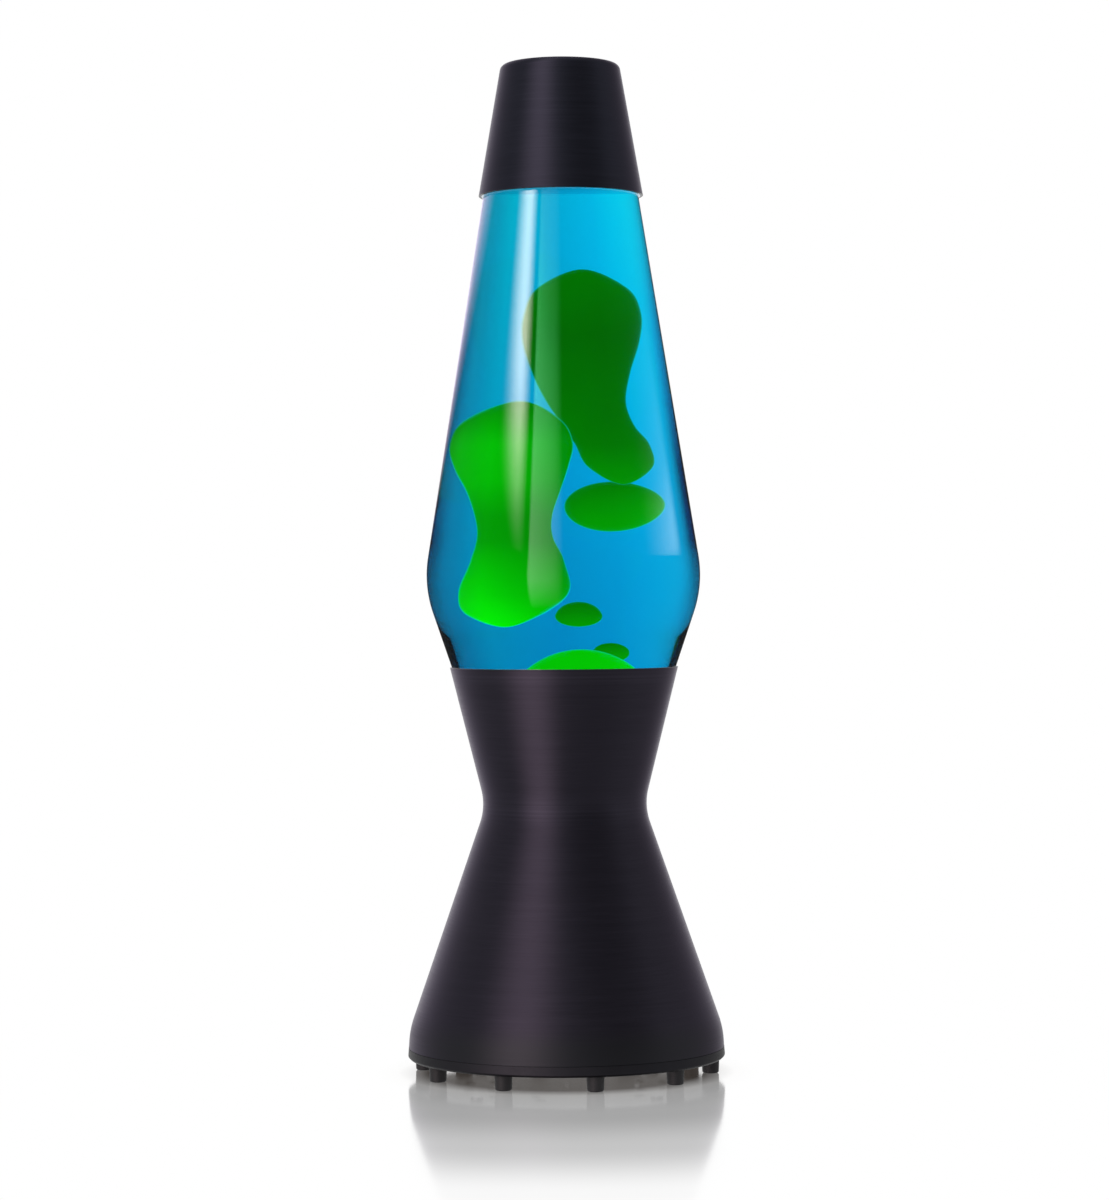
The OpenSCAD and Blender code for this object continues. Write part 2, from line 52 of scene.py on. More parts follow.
base_low, base_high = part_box("base_shell")
ring_low, ring_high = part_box("foot_ring")
glass_low, glass_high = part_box("glass_bottle")
liquid_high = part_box("liquid")[1]
cap_low, cap_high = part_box("cap_shell")
foot_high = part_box("foot_1")[1]
mound_low, mound_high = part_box("wax_mound")

RIM_Z = base_high[2]
SEAM_Z = base_low[2]
RIM_R = 48.7 * MM
WAIST = (33.9 * MM, 113.5 * MM)
HEM = (66.8 * MM, 18.7 * MM)
RING_R = ring_high[0]
RING_Z = ring_low[2]
RING_EDGE = 1 * MM
# The shell's outside at the ring, just inside the ring's own edge
SHELL_FOOT_R = RING_R - 0.3 * MM
SHELL_WALL = 1.2 * MM
# The broken edge where a sheet is cut, and how far from there its faces show bare metal
CUT_EDGE = 0.14 * MM
CUT_FACES = 0.16 * MM
SEAT_DEPTH = 6 * MM
SEAT_GAP = 0.35 * MM
SEAT_EDGE = 0.12 * MM
GLAND_HOLE_R = 4.9 * MM
# The ring's step that the bottom plate lies in, and the flange that the plate is screwed to
PLATE_STEP_R = 57.1 * MM
PLATE_STEP_Z = RING_Z + 1.1 * MM
FLANGE_TOP = RING_Z + 3.8 * MM
FLANGE_R = 49 * MM

BOTTLE_Z = glass_low[2]
BOTTLE_R = 32 * MM
BELLY = (59.7 * MM, 207.8 * MM)
SHOULDER = (31.3 * MM, 385 * MM)
NECK = (11.8 * MM, 398 * MM)
BEAD_R = 13.3 * MM
BEAD_Z = 405 * MM
MOUTH_Z = glass_high[2]
GLASS_WALL = 3 * MM
# The raised middle of the bottle's underside
HOLLOW_Z = BOTTLE_Z + 2 * MM
# How far the bottle's floor rises in its middle
PUNT = 2.3 * MM
# How far the liquid's face runs into the glass, so that no film of air shows between them
WETTING = 0.15 * MM

CAP_Z = cap_low[2]
CAP_TOP = cap_high[2]
CAP_RIM_R = cap_high[0]
CAP_TOP_R = 25.3 * MM
CAP_WALL = 1.2 * MM

FOOT_CIRCLE = 61.6 * MM
FOOT_R = 3.75 * MM
FOOT_TURN = math.radians(11 - 90)
FOOT_COUNT = 10

# The level where the settled wax meets the glass
POOL_Z = 150 * MM
# Its dome: how far it stands to the right of the axis, its radius and its height
DOME = (5.5 * MM, 26.5 * MM, 34.9 * MM)

# ---------- profiles ----------


def unit(v):
    return v / v.length


def left_of(v):
    return Vector((-v.y, v.x))


def arc(a, b, c, radius, steps):
    """Points on the arc that rounds corner b between its neighbours."""
    u, w = unit(a - b), unit(c - b)
    half = math.acos(max(-1.0, min(1.0, u.dot(w)))) / 2
    side = 1 if (-u).x * w.y - (-u).y * w.x > 0 else -1
    start = b + u * radius / math.tan(half)
    middle = start + left_of(-u) * side * radius
    spoke = start - middle
    sweep = side * (math.pi - 2 * half)
    points = []
    for i in range(steps + 1):
        t = sweep * i / steps
        points.append(middle + Vector((
            spoke.x * math.cos(t) - spoke.y * math.sin(t),
            spoke.x * math.sin(t) + spoke.y * math.cos(t),
        )))
    return points


def rounded(path, steps=14):
    """A path of (r, z, rounding) corners as points, its round corners as arcs."""
    spots = [Vector(p[:2]) for p in path]
    points = []
    for i, corner in enumerate(path):
        if corner[2] > 0:
            points += arc(spots[i - 1], spots[i], spots[i + 1], corner[2], steps)
        else:
            points.append(spots[i])
    return points


def moved(path, t):
    """A path moved to its left by t, with mitred corners and concentric rounding."""
    spots = [Vector(p[:2]) for p in path]
    last = len(path) - 1
    result = []
    for i, here in enumerate(spots):
        u = unit(spots[1] - here) if i == 0 else unit(here - spots[i - 1])
        w = u if i == last else unit(spots[i + 1] - here)
        n = unit(left_of(u) + left_of(w))
        bend = u.x * w.y - u.y * w.x
        p = here + n * t / n.dot(left_of(u))
        radius = path[i][2]
        if radius > 0:
            radius = max(0.2 * MM, radius - math.copysign(t, bend))
        result.append((p.x, p.y, radius))
    return result


def spaced(points, most=3 * MM):
    """The same outline with no stretch longer than most."""
    result = [points[0]]
    for a, b in zip(points, points[1:]):
        count = max(1, math.ceil((b - a).length / most))
        result += [a.lerp(b, i / count) for i in range(1, count + 1)]
    return result


# ---------- meshes ----------


def new_object(name, verts, faces, sharp=SHARP):
    mesh = bpy.data.meshes.new(name)
    mesh.from_pydata([tuple(v) for v in verts], [], faces)
    mesh.validate()
    mesh.shade_smooth()
    mesh.set_sharp_from_angle(angle=math.radians(sharp))
    obj = bpy.data.objects.new(name, mesh)
    bpy.context.scene.collection.objects.link(obj)
    return obj


def lathe(name, profile, closed, segments=192, middle=(0, 0), sharp=SHARP):
    """A profile of (r, z) points turned about the vertical axis through middle.
    A closed profile makes a ring; an open one starts and ends on the axis."""
    inner = profile if closed else profile[1:-1]
    verts = []
    for p in inner:
        for j in range(segments):
            a = TURN * j / segments
            verts.append((middle[0] + p[0] * math.cos(a), middle[1] + p[0] * math.sin(a), p[1]))
    faces = []
    rows = len(inner)
    for i in range(rows if closed else rows - 1):
        a, b = i * segments, ((i + 1) % rows) * segments
        for j in range(segments):
            k = (j + 1) % segments
            faces.append((a + j, a + k, b + k, b + j))
    if not closed:
        low, high = len(verts), len(verts) + 1
        verts += [(middle[0], middle[1], profile[0][1]), (middle[0], middle[1], profile[-1][1])]
        end = (rows - 1) * segments
        for j in range(segments):
            k = (j + 1) % segments
            faces.append((low, k, j))
            faces.append((high, end + j, end + k))
    return new_object(name, verts, faces, sharp)


def paint(obj, *materials):
    """Gives an object its materials; every face starts with the first."""
    for m in materials:
        obj.data.materials.append(m)


def paint_where(obj, index, test):
    """Gives the faces whose middle passes the test another of the object's materials."""
    for f in obj.data.polygons:
        if test(f.center, f.normal):
            f.material_index = index


def inward(middle, normal):
    """Whether a face looks towards the lamp's axis."""
    return normal.x * middle.x + normal.y * middle.y < 0


def stand_for(obj, body, slot, *nodes):
    """The piece rides on a body and stands for CAD nodes, which it hides. Slot is not used."""
    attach(obj, body)
    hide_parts(*nodes)


# ---------- materials ----------


class Nodes:
    """Short ways to add nodes to a tree."""

    def __init__(self, tree):
        self.tree = tree

    def node(self, kind, **props):
        made = self.tree.nodes.new("ShaderNode" + kind)
        for key, value in props.items():
            setattr(made, key, value)
        return made

    def feed(self, source, socket):
        """Links a socket, or sets a number or a colour."""
        if isinstance(source, bpy.types.NodeSocket):
            self.tree.links.new(source, socket)
        elif socket.type == "RGBA":
            colour = (source,) * 3 if isinstance(source, (int, float)) else source
            socket.default_value = (*colour, 1)
        else:
            socket.default_value = source

    def parts(self, vector):
        split = self.node("SeparateXYZ")
        self.feed(vector, split.inputs["Vector"])
        return split.outputs

    def ramp(self, source, stops, mode="LINEAR"):
        """A colour ramp over source; stops are pairs of a place and a colour or a grey level."""
        r = self.node("ValToRGB")
        r.color_ramp.interpolation = mode
        points = r.color_ramp.elements
        while len(points) < len(stops):
            points.new(0.5)
        for point, (at, colour) in zip(points, stops):
            point.position = at
            point.color = (colour, colour, colour, 1) if isinstance(colour, (int, float)) else (*colour, 1)
        self.feed(source, r.inputs["Fac"])
        return r.outputs["Color"]

    def between(self, source, low, high, start=0.0, end=1.0, smooth=False):
        """Maps source from start..end to low..high."""
        m = self.node("MapRange", interpolation_type="SMOOTHSTEP" if smooth else "LINEAR")
        self.feed(source, m.inputs["Value"])
        for key, value in zip(("From Min", "From Max", "To Min", "To Max"), (start, end, low, high)):
            m.inputs[key].default_value = value
        return m.outputs["Result"]

    def bell(self, source, low, full, high):
        """Rises from low to full, then falls again to high."""
        rise = self.between(source, 0, 1, low, full, smooth=True)
        return self.product(rise, self.between(source, 0, 1, high, full, smooth=True))

    def mix(self, factor, a, b, blend="MIX"):
        m = self.node("Mix", data_type="RGBA", blend_type=blend)
        sockets = [socket for socket in m.inputs if socket.enabled]
        for socket, value in zip(sockets, (factor, a, b)):
            self.feed(value, socket)
        return [socket for socket in m.outputs if socket.enabled][0]

    def math(self, operation, a, b):
        m = self.node("Math", operation=operation)
        self.feed(a, m.inputs[0])
        self.feed(b, m.inputs[1])
        return m.outputs["Value"]

    def product(self, *sources):
        total = sources[0]
        for source in sources[1:]:
            total = self.math("MULTIPLY", total, source)
        return total


class Material(Nodes):
    """A Principled material; sockets are set by name, with _ for each space."""

    def __init__(self, name, **sockets):
        self.material = bpy.data.materials.new(name)
        self.material.use_nodes = True
        super().__init__(self.material.node_tree)
        self.shader = self.tree.nodes["Principled BSDF"]
        for key, value in sockets.items():
            self.shader.inputs[key.replace("_", " ")].default_value = value

    def place(self, scale=(1, 1, 1)):
        """Object coordinates, scaled."""
        coords = self.node("TexCoord")
        mapping = self.node("Mapping")
        mapping.inputs["Scale"].default_value = scale
        self.feed(coords.outputs["Object"], mapping.inputs["Vector"])
        return mapping.outputs["Vector"]

    def aside(self):
        """How far a point is turned from the lamp's left, 0, to its right, 1."""
        place = self.parts(self.place())
        across = self.math("ADD", self.product(place["X"], place["X"]), self.product(place["Y"], place["Y"]))
        turn = self.math("DIVIDE", place["X"], self.math("SQRT", across, 0.0))
        return self.between(turn, 0, 1, -1, 1)

    def level(self, low, high):
        """Height from low, 0, to high, 1."""
        return self.between(self.parts(self.place())["Z"], 0, 1, low, high)

    def noise(self, scale=(1, 1, 1), detail=4.0, rough=0.55):
        n = self.node("TexNoise")
        n.inputs["Scale"].default_value = 1
        n.inputs["Detail"].default_value = detail
        n.inputs["Roughness"].default_value = rough
        self.feed(self.place(scale), n.inputs["Vector"])
        return n.outputs["Fac"]

    def bump(self, height, distance, strength=1.0):
        b = self.node("Bump")
        b.inputs["Distance"].default_value = distance
        b.inputs["Strength"].default_value = strength
        self.feed(height, b.inputs["Height"])
        self.give("Normal", b.outputs["Normal"])

    def give(self, key, source):
        self.feed(source, self.shader.inputs[key])


def shade(colour, by):
    return tuple(c * by for c in colour)


HEM_TONE = (0.0195, 0.0195, 0.0225)


def anodised(name, colour, bands=()):
    """Dark anodised aluminium, brushed round the lamp's axis, with coarser spin lines in the bands
    of height, and plainer towards the hem."""
    m = Material(name, Metallic=1.0, Anisotropic=0.75, Anisotropic_Rotation=0.25,
                 Specular_Tint=(0.77, 0.73, 0.81, 1))
    fine = m.noise((55, 55, 3200), detail=3, rough=0.7)
    broad = m.noise((7, 7, 420), detail=4, rough=0.65)
    cloud = m.noise((9, 9, 14), detail=3)
    streaks = m.math("ADD", m.product(fine, 0.7), m.product(broad, 0.3))
    height = m.parts(m.place())["Z"]
    tone = m.ramp(streaks, [(0.3, shade(colour, 0.84)), (0.5, colour), (0.7, shade(colour, 1.2))])
    spun = m.ramp(m.noise((2, 2, 1100), detail=2), [(0.35, 0.0), (0.62, 1.0)])
    for low, high in bands:
        line = m.product(spun, m.bell(height, low, (low + high) / 2, high), 0.5)
        tone = m.mix(line, tone, shade(colour, 1.7))
    veil = m.ramp(cloud, [(0.35, (0.94, 0.94, 0.96)), (0.65, (1.06, 1.05, 1.05))])
    hem = m.between(height, 1, 0, HEM[1] - 3 * MM, HEM[1] + 9 * MM, smooth=True)
    m.give("Base Color", m.mix(hem, m.mix(1.0, tone, veil, "MULTIPLY"), HEM_TONE))
    m.give("Roughness", m.math("ADD", m.between(streaks, 0.32, 0.42, 0.3, 0.7), m.product(hem, 0.07)))
    tangent = m.node("Tangent", direction_type="RADIAL", axis="Z")
    m.give("Tangent", tangent.outputs["Tangent"])
    m.bump(streaks, 0.00002, 0.5)
    return m.material


def satin(name, colour):
    """The same finish as the shell's, unbrushed, on a moulded ring."""
    m = Material(name, Metallic=1.0, Roughness=0.4, Specular_Tint=(0.75, 0.75, 0.75, 1))
    grain = m.noise((900, 900, 900), detail=3)
    cloud = m.noise((40, 40, 40), detail=3)
    m.give("Base Color", m.ramp(cloud, [(0.3, shade(colour, 0.9)), (0.7, shade(colour, 1.1))]))
    m.give("Roughness", m.between(grain, 0.36, 0.46, 0.3, 0.7))
    m.bump(grain, 0.00003, 0.5)
    return m.material


def bare_edge(name, colour):
    """The raw metal that a cut or turned edge shows."""
    m = Material(name, Metallic=1.0, Roughness=0.3)
    lines = m.noise((40, 40, 4000), detail=2)
    m.give("Base Color", m.ramp(lines, [(0.3, shade(colour, 0.75)), (0.7, colour)]))
    m.give("Roughness", m.between(lines, 0.24, 0.42))
    return m.material


def lacquered(name, colour):
    """Pale lacquer inside the cap. The light it catches at the open rim is its own emission."""
    m = Material(name, Roughness=0.5)
    speck = m.noise((400, 400, 400), detail=2)
    m.give("Base Color", m.ramp(speck, [(0.3, shade(colour, 0.92)), (0.7, colour)]))
    m.give("Emission Color", m.mix(m.level(CAP_Z, CAP_Z + 12 * MM), shade(colour, 0.8), (0.0, 0.0, 0.0)))
    m.shader.inputs["Emission Strength"].default_value = 1.0
    m.bump(speck, 0.00002, 0.4)
    return m.material


def moulded(name, colour, roughness=0.55, gloss=0.4, grain=0.00004, scale=900):
    """Moulded plastic or rubber with a fine grain."""
    m = Material(name, Roughness=roughness, Specular_IOR_Level=gloss)
    grain_of = m.noise((scale, scale, scale), detail=2)
    cloud = m.noise((60, 60, 60), detail=3)
    m.give("Base Color", m.ramp(cloud, [(0.3, shade(colour, 0.85)), (0.7, shade(colour, 1.15))]))
    m.give("Roughness", m.between(grain_of, roughness - 0.07, roughness + 0.09))
    m.bump(grain_of, grain, 0.6)
    return m.material


def plain_metal(name, colour, roughness=0.32, lines=(300, 300, 300)):
    """Sheet, wire or screw metal with light scratches."""
    m = Material(name, Metallic=1.0, Roughness=roughness)
    scratch = m.noise(lines, detail=4, rough=0.65)
    cloud = m.noise((70, 70, 70), detail=2)
    m.give("Base Color", m.mix(0.5, m.ramp(scratch, [(0.3, shade(colour, 0.8)), (0.7, colour)]),
                               m.ramp(cloud, [(0.3, shade(colour, 0.85)), (0.7, colour)])))
    m.give("Roughness", m.between(scratch, roughness - 0.08, roughness + 0.12))
    m.bump(scratch, 0.00002, 0.4)
    return m.material


def glazed(name, colour):
    """White ceramic with a thin glaze."""
    m = Material(name, Roughness=0.18, Coat_Weight=0.4, Coat_Roughness=0.05)
    speck = m.noise((500, 500, 500), detail=2)
    m.give("Base Color", m.ramp(speck, [(0.35, shade(colour, 0.93)), (0.6, colour)]))
    m.bump(speck, 0.00003, 0.4)
    return m.material


def clear_glass(name, tint):
    """Clear glass with faint thickness waves in its colour."""
    m = Material(name, Transmission_Weight=1.0, Roughness=0.0, IOR=1.5)
    waves = m.noise((20, 20, 4), detail=2)
    m.give("Base Color", m.ramp(waves, [(0.3, shade(tint, 0.985)), (0.7, tint)]))
    return m.material


def filled_glass(name, reflection):
    """The bottle's glass: clear, with painted shade and painted reflections in its colour where it is
    seen edge-on beside the liquid. The colours of that edge follow the photo, low to high and left to
    right, and turn with the lamp. Reflection is 1 in air and 0 where the liquid wets it."""
    m = Material(name, Transmission_Weight=1.0, Roughness=0.0, IOR=1.5,
                 Specular_Tint=(reflection, reflection, reflection, 1))
    level = m.level(POOL_Z, liquid_high[2])
    left = m.ramp(level, [
        (0.14, (0.6, 0.9, 0.95)), (0.22, (0.5, 0.65, 0.6)), (0.32, (0.2, 0.24, 0.34)),
        (0.45, (0.6, 0.9, 1.0)), (0.65, (0.35, 0.28, 0.48)), (0.86, (0.5, 0.7, 0.88)),
    ])
    right = m.ramp(level, [
        (0.14, (0.5, 0.9, 0.95)), (0.22, (0.35, 0.4, 0.4)), (0.32, (0.02, 0.02, 0.07)),
        (0.45, (0.01, 0.006, 0.07)), (0.65, (0.3, 0.4, 0.8)), (0.86, (0.75, 0.95, 1.0)),
    ])
    facing = m.node("LayerWeight")
    facing.inputs["Blend"].default_value = 0.5
    edge = m.between(facing.outputs["Facing"], 0, 1, 0.46, 0.74, smooth=True)
    # The edge's colours are painted shade and painted reflections, different on the lamp's left and right.
    rim = m.mix(m.aside(), left, right)
    m.give("Base Color", m.mix(edge, (0.99, 0.995, 1.0), rim))
    return m.material


def dyed_liquid(name):
    """Blue liquid: each face that light crosses tints it. Part of the photo's light is in that tint,
    which is paler towards the top and the lamp's right, and turns with the lamp."""
    m = Material(name, Transmission_Weight=1.0, Roughness=0.0, IOR=1.345, Specular_Tint=(0, 0, 0, 1))
    level = m.ramp(m.level(POOL_Z, liquid_high[2]), [
        (0.0, (0.0, 0.48, 0.75)), (0.15, (0.0, 0.52, 0.79)), (0.43, (0.0, 0.68, 0.95)),
        (0.86, (0.0, 0.87, 1.0)), (1.0, (0.0, 0.93, 1.0)),
    ])
    turned = m.ramp(m.aside(), [
        (0.0, (1.0, 0.21, 0.3)), (0.1, (1.0, 0.3, 0.42)), (0.2, (1.0, 0.5, 0.6)),
        (0.5, (1.0, 0.49, 0.71)), (0.7, (1.0, 0.59, 0.84)), (0.9, (1.0, 0.9, 1.0)),
    ])
    m.give("Base Color", m.mix(1.0, level, turned, "MULTIPLY"))
    return m.material


def warm_wax(name, low, high, glow, strength, lean):
    """Green wax as if lit by the bulb below. That light is its own emission, so other lights hardly
    change it: glow is its brightness from its lowest point to its highest, and lean is how much
    brighter its left side is. Its pale rim, on its lower half, is a painted sheen, mixed into that
    emission by Layer Weight."""
    m = Material(name, Roughness=0.05, IOR=1.05)
    height = m.ramp(m.level(low[2], high[2]), glow)
    side = m.between(m.parts(m.place())["X"], 1 + lean, 1 - lean, low[0], high[0])
    cloud = m.between(m.noise((30, 30, 30), detail=2), 0.95, 1.05, 0.3, 0.7)
    m.give("Base Color", m.mix(cloud, (0.0, 0.03, 0.0), (0.0, 0.05, 0.0)))
    lit = m.product(side, cloud)
    green = m.mix(1.0, m.mix(1.0, height, lit, "MULTIPLY"), (0.0, 1.0, 0.0), "MULTIPLY")
    facing = m.node("LayerWeight")
    facing.inputs["Blend"].default_value = 0.5
    normal = m.parts(m.node("NewGeometry").outputs["Normal"])
    under = m.between(normal["Z"], 1.0, 0.35, -0.6, 0.2, smooth=True)
    # A painted sheen: a pale rim mixed into the emission where the wax is seen edge-on, on its lower half.
    rim = m.product(m.between(facing.outputs["Facing"], 0, 1, 0.78, 0.95, smooth=True), under)
    m.give("Emission Color", m.mix(rim, green, (0.0, 0.45, 0.36)))
    m.shader.inputs["Emission Strength"].default_value = strength
    return m.material


shell_metal = anodised("anodised_charcoal", (0.0186, 0.0170, 0.0234), [
    (WAIST[1] - 9 * MM, WAIST[1] + 9 * MM), (RIM_Z - 9 * MM, RIM_Z + 1 * MM),
])
cap_metal = anodised("anodised_charcoal_cap", (0.0152, 0.0158, 0.0224))
rolled_lip = bare_edge("cap_rolled_lip", (0.05, 0.05, 0.055))
cap_lining = lacquered("cap_lining", (0.8, 0.84, 0.9))
worn_edge = bare_edge("worn_rim_edge", (0.16, 0.15, 0.17))
bare_inside = bare_edge("bare_aluminium_inside", (0.42, 0.45, 0.5))
ring_plastic = satin("ring_satin", (0.0165, 0.0162, 0.0190))
rubber = moulded("foot_rubber", (0.008, 0.008, 0.009), 0.55, 0.2)
steel = plain_metal("sheet_steel", (0.58, 0.59, 0.61))
plate_steel = plain_metal("black_coated_steel", (0.03, 0.028, 0.027), 0.5)
dark_steel = plain_metal("dark_screw_steel", (0.1, 0.1, 0.105), 0.4)
screw_steel = plain_metal("screw_steel", (0.5, 0.51, 0.53), 0.28)
brass = plain_metal("brass", (0.72, 0.53, 0.23), 0.3)
tinplate = plain_metal("lacquered_tinplate", (0.7, 0.67, 0.58), 0.25)
tungsten = plain_metal("pin_metal", (0.45, 0.45, 0.46), 0.3)
mirror = plain_metal("reflector_mirror", (0.86, 0.86, 0.88), 0.1, (60, 60, 60))
ceramic = glazed("white_ceramic", (0.82, 0.81, 0.77))
terminal_white = moulded("terminal_plastic", (0.74, 0.74, 0.7), 0.4)
liner = moulded("liner_rubber", (0.5, 0.5, 0.46), 0.6)
sleeve_brown = moulded("sleeve_brown", (0.13, 0.05, 0.02), 0.35)
sleeve_blue = moulded("sleeve_blue", (0.02, 0.08, 0.35), 0.35)
sleeve_green = moulded("sleeve_green", (0.12, 0.3, 0.03), 0.35)
bulb_glass = clear_glass("bulb_glass", (0.97, 0.98, 0.98))
bottle_glass = filled_glass("bottle_glass", 1.0)
wetted_glass = filled_glass("bottle_glass_wetted", 0.0)
blue_liquid = dyed_liquid("blue_liquid")

# ---------- base ----------

SHELL_PATH = [
    (SHELL_FOOT_R, SEAM_Z, 0),
    (*HEM, 36 * MM),
    (*WAIST, 25 * MM),
    (RIM_R, RIM_Z, 0),
]


def bottle_cone_r(z):
    """The radius of the bottle's lower cone at height z."""
    return BOTTLE_R + (BELLY[0] - BOTTLE_R) * (z - BOTTLE_Z) / (BELLY[1] - BOTTLE_Z)


def make_base_shell():
    """The spun hourglass: its outside, the seat that the bottle's lower cone rests in, its inside."""
    inner_path = moved(SHELL_PATH, SHELL_WALL)
    seat_low = RIM_Z - SEAT_DEPTH
    inner = [p for p in spaced(rounded(inner_path)) if p.y < seat_low - 1 * MM]
    seat = [
        (bottle_cone_r(seat_low) + SEAT_GAP, seat_low),
        (bottle_cone_r(RIM_Z) + SEAT_GAP, RIM_Z - SEAT_EDGE),
        (bottle_cone_r(RIM_Z) + SEAT_GAP + SEAT_EDGE, RIM_Z),
    ]
    outer = spaced(rounded(SHELL_PATH))
    outer[0] = Vector((outer[0].x, outer[0].y + CUT_EDGE))
    outer[-1] = Vector((outer[-1].x, outer[-1].y - CUT_EDGE))
    outer.insert(0, Vector((outer[0].x - CUT_EDGE, SEAM_Z)))
    outer.append(Vector((RIM_R - CUT_EDGE, RIM_Z)))
    profile = outer + [Vector(p) for p in reversed(seat)] + list(reversed(inner))
    obj = lathe("base_shell_metal", profile, closed=True, segments=224)
    drill_gland_hole(obj)
    paint(obj, shell_metal, worn_edge, bare_inside)
    paint_where(obj, 2, inward)
    paint_where(obj, 1, lambda c, n: c.z > RIM_Z - CUT_FACES)
    stand_for(obj, "base", "anodised_shell", "base_shell")


def drill_gland_hole(obj):
    """The hole in the back that the cord bush sits in."""
    low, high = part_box("cord_gland")
    middle = [(a + b) / 2 for a, b in zip(low, high)]
    bpy.ops.mesh.primitive_cylinder_add(
        vertices=48, radius=GLAND_HOLE_R, depth=30 * MM,
        location=(0, middle[1], middle[2]), rotation=(math.pi / 2, 0, 0),
    )
    cutter = bpy.context.active_object
    cut = obj.modifiers.new("hole", "BOOLEAN")
    cut.object = cutter
    cut.operation = "DIFFERENCE"
    cut.solver = "EXACT"
    bpy.context.view_layer.objects.active = obj
    bpy.ops.object.modifier_apply(modifier=cut.name)
    bpy.data.objects.remove(cutter)
    obj.data.shade_smooth()
    obj.data.set_sharp_from_angle(angle=math.radians(SHARP))


def make_foot_ring():
    """The moulded ring under the shell: a spigot inside the shell and a flange for the bottom plate."""
    ledge_z = SEAM_Z - 0.03 * MM
    spigot_r = SHELL_FOOT_R - SHELL_WALL - 0.1 * MM
    spigot_inner_r = spigot_r - 2 * MM
    path = [
        (FLANGE_R + 1 * MM, PLATE_STEP_Z, 0), (PLATE_STEP_R, PLATE_STEP_Z, 0),
        (PLATE_STEP_R, RING_Z, 0.2 * MM), (RING_R - RING_EDGE, RING_Z, 0.6 * MM),
        (RING_R, RING_Z + RING_EDGE, 0.6 * MM), (RING_R - 0.25 * MM, ledge_z, 0),
        (spigot_r, ledge_z, 0), (spigot_r - 0.5 * MM, ring_high[2], 0),
        (spigot_inner_r, ring_high[2], 0), (spigot_inner_r, FLANGE_TOP, 0),
        (FLANGE_R, FLANGE_TOP, 0), (FLANGE_R, PLATE_STEP_Z, 0),
    ]
    obj = lathe("foot_ring_moulding", rounded(path, 4), closed=True, segments=224)
    paint(obj, ring_plastic)
    stand_for(obj, "base", "ring_plastic", "foot_ring")


def make_feet():
    peg_r = 2 * MM
    path = [
        (0, 0, 0), (FOOT_R - 0.25 * MM, 0, 0.9 * MM), (FOOT_R, RING_Z, 0.0),
        (peg_r, RING_Z, 0), (peg_r, foot_high[2], 0), (0, foot_high[2], 0),
    ]
    for i in range(FOOT_COUNT):
        a = FOOT_TURN + TURN * i / FOOT_COUNT
        place = (FOOT_CIRCLE * math.cos(a), FOOT_CIRCLE * math.sin(a))
        obj = lathe(f"peg_foot_{i + 1}", rounded(path, 6), closed=False, segments=40, middle=place)
        paint(obj, rubber)
        stand_for(obj, "base", "foot_rubber", f"foot_{i + 1}")


# ---------- cap ----------


def make_cap():
    """The spun cap, closed at its top and open at its rolled lip."""
    path = [(CAP_RIM_R, CAP_Z, 0), (CAP_TOP_R, CAP_TOP, 3 * MM), (0, CAP_TOP, 0)]
    edge = 0.15 * MM
    outer = spaced(rounded(path))
    inner = spaced(rounded(moved(path, CAP_WALL)))
    outer[0] = Vector((outer[0].x, outer[0].y + edge))
    inner[0] = Vector((inner[0].x, inner[0].y + edge))
    lip = [Vector((CAP_RIM_R - CAP_WALL + edge, CAP_Z)), Vector((CAP_RIM_R - edge, CAP_Z))]
    profile = list(reversed(inner)) + lip + outer
    obj = lathe("cap_metal", profile, closed=False, segments=224)
    paint(obj, cap_metal, rolled_lip, cap_lining)
    paint_where(obj, 2, inward)
    paint_where(obj, 1, lambda c, n: c.z < CAP_Z + CUT_FACES)
    stand_for(obj, "cap", "anodised_shell", "cap_shell")


# ---------- bottle ----------

BOTTLE_PATH = [
    (0, HOLLOW_Z, 0), (BOTTLE_R - 7 * MM, HOLLOW_Z, 3 * MM),
    (BOTTLE_R - 5 * MM, BOTTLE_Z, 1 * MM), (BOTTLE_R, BOTTLE_Z, 4 * MM), (*BELLY, 50 * MM),
    (*SHOULDER, 14 * MM), (*NECK, 6 * MM),
]


def bottle_face(t, top):
    """The bottle's face moved in by t, with its bore run up to top."""
    path = moved(BOTTLE_PATH, t)
    return rounded(path + [(path[-1][0], top, 0)], 24)


def make_bottle():
    """The bottle's wall, inside and out, with the bead that the closure grips."""
    finish = [
        (NECK[0], BEAD_Z, 0), (BEAD_R, BEAD_Z + 1 * MM, 0.5 * MM), (BEAD_R, MOUTH_Z, 1 * MM),
        (NECK[0] - GLASS_WALL, MOUTH_Z, 1 * MM),
    ]
    outer = rounded(BOTTLE_PATH + finish + [(NECK[0] - GLASS_WALL, NECK[1], 0)], 24)[:-1]
    inner = bottle_face(GLASS_WALL, MOUTH_Z)[:-1]
    profile = spaced(outer + list(reversed(inner)))
    obj = lathe("bottle_glass_wall", profile, closed=False, segments=256)
    paint(obj, bottle_glass, wetted_glass)
    paint_where(obj, 1, lambda c, n: inward(c, n) and c.z < liquid_high[2])
    stand_for(obj, "bottle", "bottle_glass", "glass_bottle")


def wall_r(z, points):
    """The radius of an upright outline at height z."""
    for a, b in zip(points, points[1:]):
        if a.y <= z <= b.y:
            return a.x + (b.x - a.x) * (z - a.y) / max(b.y - a.y, 1e-9)
    return points[-1].x


INSIDE = bottle_face(GLASS_WALL, MOUTH_Z)


